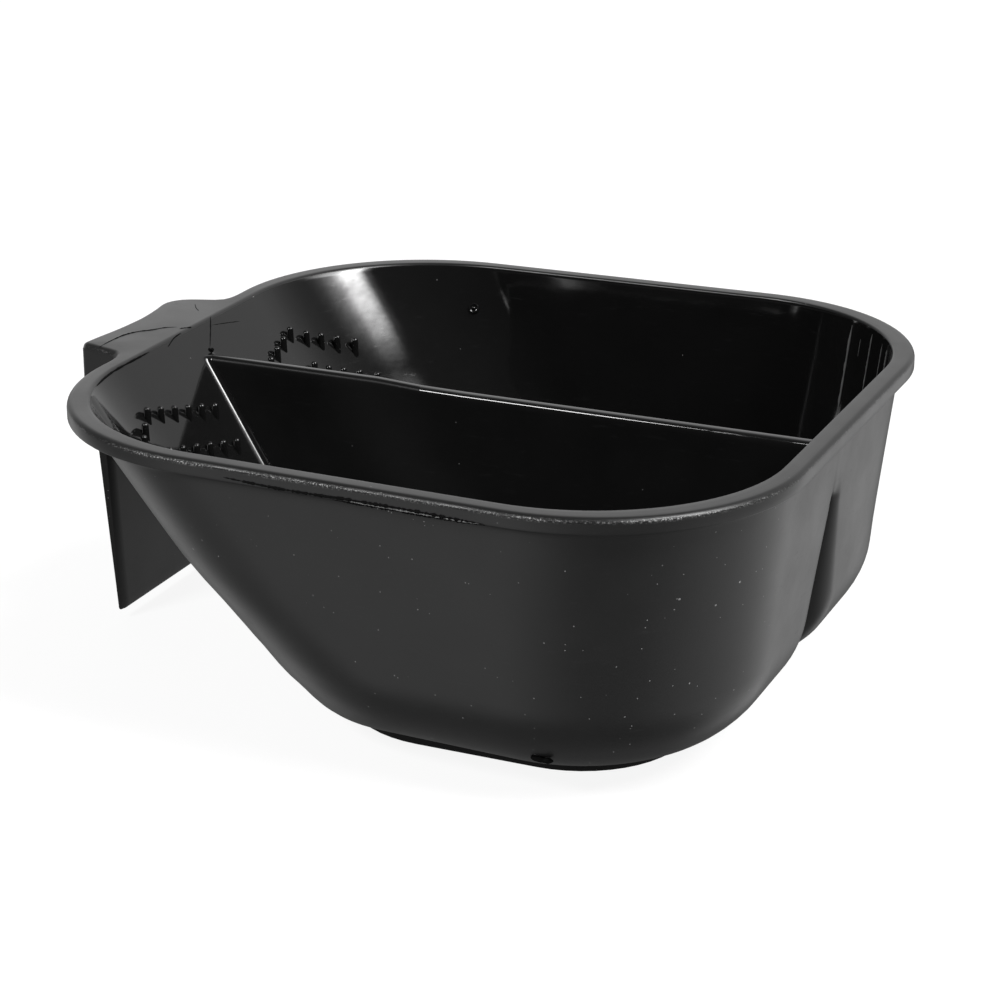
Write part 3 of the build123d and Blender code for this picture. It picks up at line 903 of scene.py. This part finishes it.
# ---------------------------------------------------------------- grip plate
def plate_section(height):
    """Rounded outline of the hanging plate at a height."""
    share = (WEB_BOTTOM - height) / (WEB_BOTTOM - PLATE_BOTTOM)
    lower = min(1.0, max(0.0, share))
    near = PLATE_NEAR_TOP + lower * (-PLATE_HALF_BOTTOM - PLATE_NEAR_TOP)
    far = PLATE_FAR_TOP + lower * (PLATE_HALF_BOTTOM - PLATE_FAR_TOP)
    thickness = PLATE_TOP_THICKNESS + lower * (PLATE_BOTTOM_THICKNESS - PLATE_TOP_THICKNESS)
    outer, inner = [], []
    edge = min(0.45, thickness * 0.3)
    for i in range(PLATE_COLUMNS + 1):
        y = near + (far - near) * i / PLATE_COLUMNS
        hollow_share = max(0.0, 1.0 - (y / PLATE_HOLLOW_HALF) ** 2)
        hollow = PLATE_HOLLOW * hollow_share * (1.0 - lower) ** 0.5 if share < 1 else 0.0
        turn_share = max(0.0, (y - PLATE_TURN_START) / PLATE_TURN_RUN) ** 2
        far_turn = PLATE_TURN * turn_share * (1.0 - lower)
        leaned = PLATE_LEFT + PLATE_LEAN * share
        pull = edge if i in (0, PLATE_COLUMNS) else 0.0
        outer.append(Vector((leaned + hollow + far_turn + pull, y)))
        inner.append(Vector((leaned + PLATE_HOLLOW * (1 - lower) + thickness - pull, y)))
    return outer + list(reversed(inner))


def grip_plate(material):
    """The hanging plate, its lower edge rounded and its top sunk in the web."""
    skin = Skin()
    loops = []
    heights = [PLATE_BOTTOM + d for d in (0.0, 0.08, 0.25, 0.6, 2.0, 6.0, 12.0, 20.0, 28.0, 36.0, 44.0)]
    heights += [52.0, 57.0, 60.0, 61.6, 63.2]
    for index, height in enumerate(heights):
        section = plate_section(height)
        shrink = (0.35, 0.16, 0.05)[index] if index < 3 else 0.0
        centre = sum(section, Vector((0.0, 0.0))) / len(section)
        points = []
        for point in section:
            toward_x = math.copysign(1, centre.x - point.x)
            near_end = abs(point.y - centre.y) > 17.5
            toward_y = math.copysign(1, centre.y - point.y) if near_end else 0.0
            points.append(point + Vector((toward_x, toward_y)) * shrink)
        loops.append(skin.loop(at_height(points, height)))
    skin.stack(loops)
    skin.close_ends(loops)
    return skin.finish("grip_plate_moulded", [material], 35.0)


# ---------------------------------------------------------------- nubs
def inner_wall_x(y, height):
    """X of the sloping wall's inner face at a place across the bowl."""
    left, _, half_left, _, radius, _ = wall_section(height, WALL)
    past_arc_start = abs(y) - (half_left - radius)
    if past_arc_start <= 0:
        return left
    return left + radius - math.sqrt(max(0.0, radius ** 2 - past_arc_start ** 2))


def scraper_nubs(name, mirror, material):
    """Upright pegs with domed tips, their backs sunk in the sloping wall."""
    skin = Skin()
    along_x, along_y = Vector((1.0, 0.0, 0.0)), Vector((0.0, 1.0, 0.0))
    for first, pitch, first_height, rise, count in NUB_ROWS:
        for i in range(count):
            y, height = mirror * (first + i * pitch), first_height + i * rise
            x = inner_wall_x(y, height) + NUB_OFFSET
            top = height + NUB_RISE
            profile = [
                (NUB_RADIUS * 1.25, top - NUB_HEIGHT), (NUB_RADIUS * 1.1, top - 2.0), (NUB_RADIUS, top),
            ]
            for step in range(1, 5):
                angle = step / 5 * math.pi / 2
                profile.append((NUB_RADIUS * math.cos(angle), top + NUB_RADIUS * math.sin(angle)))
            loops = []
            for radius, z in profile:
                ring = circle(Vector((x, y, z)), along_x, along_y, radius, NUB_SIDES)
                loops.append(skin.loop(ring))
            skin.stack(loops)
            skin.bm.faces.new(loops[0])
            tip = skin.loop([Vector((x, y, top + NUB_RADIUS))])[0]
            for k in range(NUB_SIDES):
                skin.bm.faces.new((loops[-1][k], loops[-1][(k + 1) % NUB_SIDES], tip))
    return skin.finish(name, [material])


# ---------------------------------------------------------------- rubber ring
def ring_outline(inset):
    """Rounded rectangle of the foot ring, moved in by inset."""
    left, right, half = RING_LEFT + inset, RING_RIGHT - inset, RING_HALF - inset
    corners = [(left, -half), (right, -half), (right, half), (left, half)]
    arcs = []
    for i, corner in enumerate(corners):
        arcs.append(corner_arc(corners[i - 1], corner, corners[(i + 1) % 4], RING_RADIUS - inset, 12))
    points = []
    for i, arc in enumerate(arcs):
        points += arc[:-1]
        points += between(arc[-1], arcs[(i + 1) % 4][0], 16)
    return points


def rubber_ring(bowl, material):
    """A soft ring that fills the space between the floor and the bowl's underside."""
    surface = BVHTree.FromObject(bowl, bpy.context.evaluated_depsgraph_get())

    def ceiling(point):
        """Height of the ring's top at a point: just into the bowl's underside, where that is near."""
        hit = surface.ray_cast(Vector((point.x, point.y, -1.0)) * MM, Vector((0.0, 0.0, 1.0)))[0]
        above = hit.z / MM if hit else RING_HEIGHT
        return min(above + 0.15, RING_HEIGHT) if above < 20 else UNDERSIDE

    skin = Skin()
    loops = []
    for inset, height, share in RING_PROFILE:
        points = []
        for point in ring_outline(inset):
            points.append(Vector((point.x, point.y, height + share * ceiling(point))))
        loops.append(skin.loop(points))
    loops.append(loops[0])
    skin.stack(loops)
    return skin.finish("rubber_ring_soft", [material], 40.0)


# ---------------------------------------------------------------- room and camera
def pale_floor():
    """A glowing white floor, so that the bowl casts next to no shadow on it."""
    mesh = bpy.data.meshes.new("floor")
    corners = [(x * FLOOR_HALF, y * FLOOR_HALF, 0) for x, y in ((-1, -1), (1, -1), (1, 1), (-1, 1))]
    mesh.from_pydata(corners, [], [(0, 1, 2, 3)])
    material, _, shader = new_material("floor_white", (FLOOR_GREY,) * 3, 0.9, 0.0)
    shader.inputs["Emission Color"].default_value = (1.0, 1.0, 1.0, 1.0)
    shader.inputs["Emission Strength"].default_value = FLOOR_GLOW
    mesh.materials.append(material)
    floor = bpy.data.objects.new("floor", mesh)
    floor.visible_glossy = False
    bpy.context.scene.collection.objects.link(floor)


def studio_world():
    """Pale behind the bowl, dark round the camera, and below the horizon a table of mixed tone.

    A large soft window beyond the end wall lights the inside of the rear corner.
    """
    world = bpy.data.worlds.new("studio")
    world.use_nodes = True
    tree = world.node_tree
    direction = tree.nodes.new("ShaderNodeSeparateXYZ")
    tree.links.new(tree.nodes.new("ShaderNodeTexCoord").outputs["Generated"], direction.inputs[0])
    x, y, z = direction.outputs
    backward = maths(tree, "MULTIPLY", maths(tree, "ADD", y, 1.0), 0.5)
    leftward = maths(tree, "MULTIPLY", maths(tree, "SUBTRACT", 1.0, x), 0.5)
    sky = ramp(tree, backward, SKY_TONES)
    to_left = ramp(tree, leftward, [(0.42, 0.0), (0.72, 1.0)])
    sky = mix(tree, to_left, mix(tree, 0.3, sky, (0.0,) * 3), sky)
    turn = maths(tree, "DIVIDE", maths(tree, "ARCTAN2", y, x), 2 * math.pi)
    turn = maths(tree, "ADD", turn, 0.5)
    upward = maths(tree, "MULTIPLY", maths(tree, "ADD", z, 1.0), 0.5)
    off_nadir = ramp(tree, upward, [(0.08, 0.0), (0.18, 1.0)])
    table = mix(tree, off_nadir, (TABLE_BELOW,) * 3, ramp(tree, turn, TABLE_TONES))
    tone = mix(tree, ramp(tree, upward, [(0.47, 0.0), (0.52, 1.0)]), table, sky)
    across, up = ramp(tree, turn, WINDOW_ACROSS), ramp(tree, upward, WINDOW_UP)
    window = maths(tree, "MULTIPLY", maths(tree, "MULTIPLY", across, up), WINDOW_BRIGHTNESS)
    background = tree.nodes["Background"]
    background.inputs["Color"].default_value = (1.0, 1.0, 1.0, 1.0)
    tree.links.new(maths(tree, "ADD", tone, window), background.inputs["Strength"])
    bpy.context.scene.world = world


def direction_from(target, azimuth, elevation):
    """The point one metre from a target in a direction given in degrees."""
    turn, rise = math.radians(azimuth), math.radians(elevation)
    level = math.cos(rise)
    return Vector(target) + Vector((level * math.cos(turn), level * math.sin(turn), math.sin(rise)))


def soft_box(name, place, aim, width, height, watts):
    """A rectangular soft light that faces a point; sizes in metres."""
    data = bpy.data.lights.new(name, "AREA")
    data.shape = "RECTANGLE"
    data.size, data.size_y = width, height
    data.energy = watts
    light = bpy.data.objects.new(name, data)
    light.location = place
    light.rotation_mode = "QUATERNION"
    light.rotation_quaternion = (Vector(aim) - Vector(place)).to_track_quat("-Z", "Y")
    bpy.context.scene.collection.objects.link(light)


def add_camera():
    """The camera: its turn is a yaw from +Y, a pitch down and a roll."""
    level = math.cos(CAMERA_PITCH)
    forward = Vector((
        -math.sin(CAMERA_YAW) * level, math.cos(CAMERA_YAW) * level, -math.sin(CAMERA_PITCH)
    ))
    right = forward.cross(Vector((0.0, 0.0, 1.0))).normalized()
    up = right.cross(forward)
    right_rolled = math.cos(CAMERA_ROLL) * right + math.sin(CAMERA_ROLL) * up
    up_rolled = math.cos(CAMERA_ROLL) * up - math.sin(CAMERA_ROLL) * right
    data = bpy.data.cameras.new("camera")
    data.sensor_width = SENSOR_WIDTH
    data.lens = LENS
    data.clip_start, data.clip_end = 0.05, 20.0
    camera = bpy.data.objects.new("camera", data)
    turn = Matrix((right_rolled, up_rolled, -forward)).transposed()
    camera.matrix_world = Matrix.Translation(Vector(CAMERA_PLACE) * MM) @ turn.to_4x4()
    bpy.context.scene.collection.objects.link(camera)
    bpy.context.scene.camera = camera


# ---------------------------------------------------------------- the scene
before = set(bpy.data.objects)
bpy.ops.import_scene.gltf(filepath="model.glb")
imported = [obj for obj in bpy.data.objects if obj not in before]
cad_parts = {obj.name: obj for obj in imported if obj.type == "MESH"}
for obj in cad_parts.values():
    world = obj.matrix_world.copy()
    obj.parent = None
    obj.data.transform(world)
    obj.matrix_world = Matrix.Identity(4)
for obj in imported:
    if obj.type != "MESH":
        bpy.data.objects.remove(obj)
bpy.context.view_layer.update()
random.seed(7)

gloss = plastic("plastic_inside", 0.0062, (0.05, 0.09), dust=0.06, relief_depths=(0.05, 0.016, 0.0006))
satin = plastic("plastic_outside", 0.0075, (0.30, 0.38), dust=0.17, relief_depths=(0.04, 0.004, 0.002))
# the rim's finish: pale rubbed flecks, which along the front lip also paint the glint line
rim_finish = plastic(
    "plastic_rim", 0.0075, (0.28, 0.36), dust=0.10, relief_depths=(0.03, 0.004, 0.002), wear_and_glint=True
)
divider_finish = plastic(
    "plastic_divider", 0.0055, (0.30, 0.40), dust=0.05, relief_depths=(0.04, 0.006, 0.001), specular=0.1
)
plate_finish = plastic(
    "plastic_plate", 0.0075, (0.34, 0.42), dust=0.12, relief_depths=(0.04, 0.006, 0.002), specular=0.12
)
# near black for the dark lines, the nick and the painted shade line inside the rim
line_finish = dark_line_and_shade("dark_line_and_shade")
# pale plastic for the strand along the lip's edge and for the painted reflection streaks
scratch_and_reflection_finish = plastic(
    "plastic_scratched_and_reflection", 0.13, (0.45, 0.55), dust=0.05, relief_depths=(0.0, 0.01, 0.01)
)
ring_rubber = rubber("rubber_matte")

bowl = bowl_moulding([gloss, satin, rim_finish, divider_finish, line_finish, scratch_and_reflection_finish])
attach(bowl, "root")
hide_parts("front_tub", "rear_tub", "rim_collar", "grip_web")

plate = grip_plate(plate_finish)
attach(plate, "root")
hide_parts("grip_plate")

for name, node, mirror in (
    ("front_nubs", "front_scraper_nubs", -1),
    ("rear_nubs", "rear_scraper_nubs", 1),
):
    nubs = scraper_nubs(name, mirror, gloss)
    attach(nubs, "root")
    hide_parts(node)

ring = rubber_ring(bowl, ring_rubber)
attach(ring, "root")
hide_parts("rubber_foot_ring")

for node in ("front_foot_rib", "rear_foot_rib"):
    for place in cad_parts[node].material_slots:
        place.material = satin

pale_floor()
studio_world()
key_place = direction_from(KEY_AIM, KEY_AZIMUTH, KEY_ELEVATION)
soft_box("key", key_place, KEY_AIM, KEY_WIDTH, KEY_HEIGHT, KEY_WATTS)
add_camera()
bpy.context.scene.view_settings.view_transform = "Standard"

bpy.context.view_layer.update()
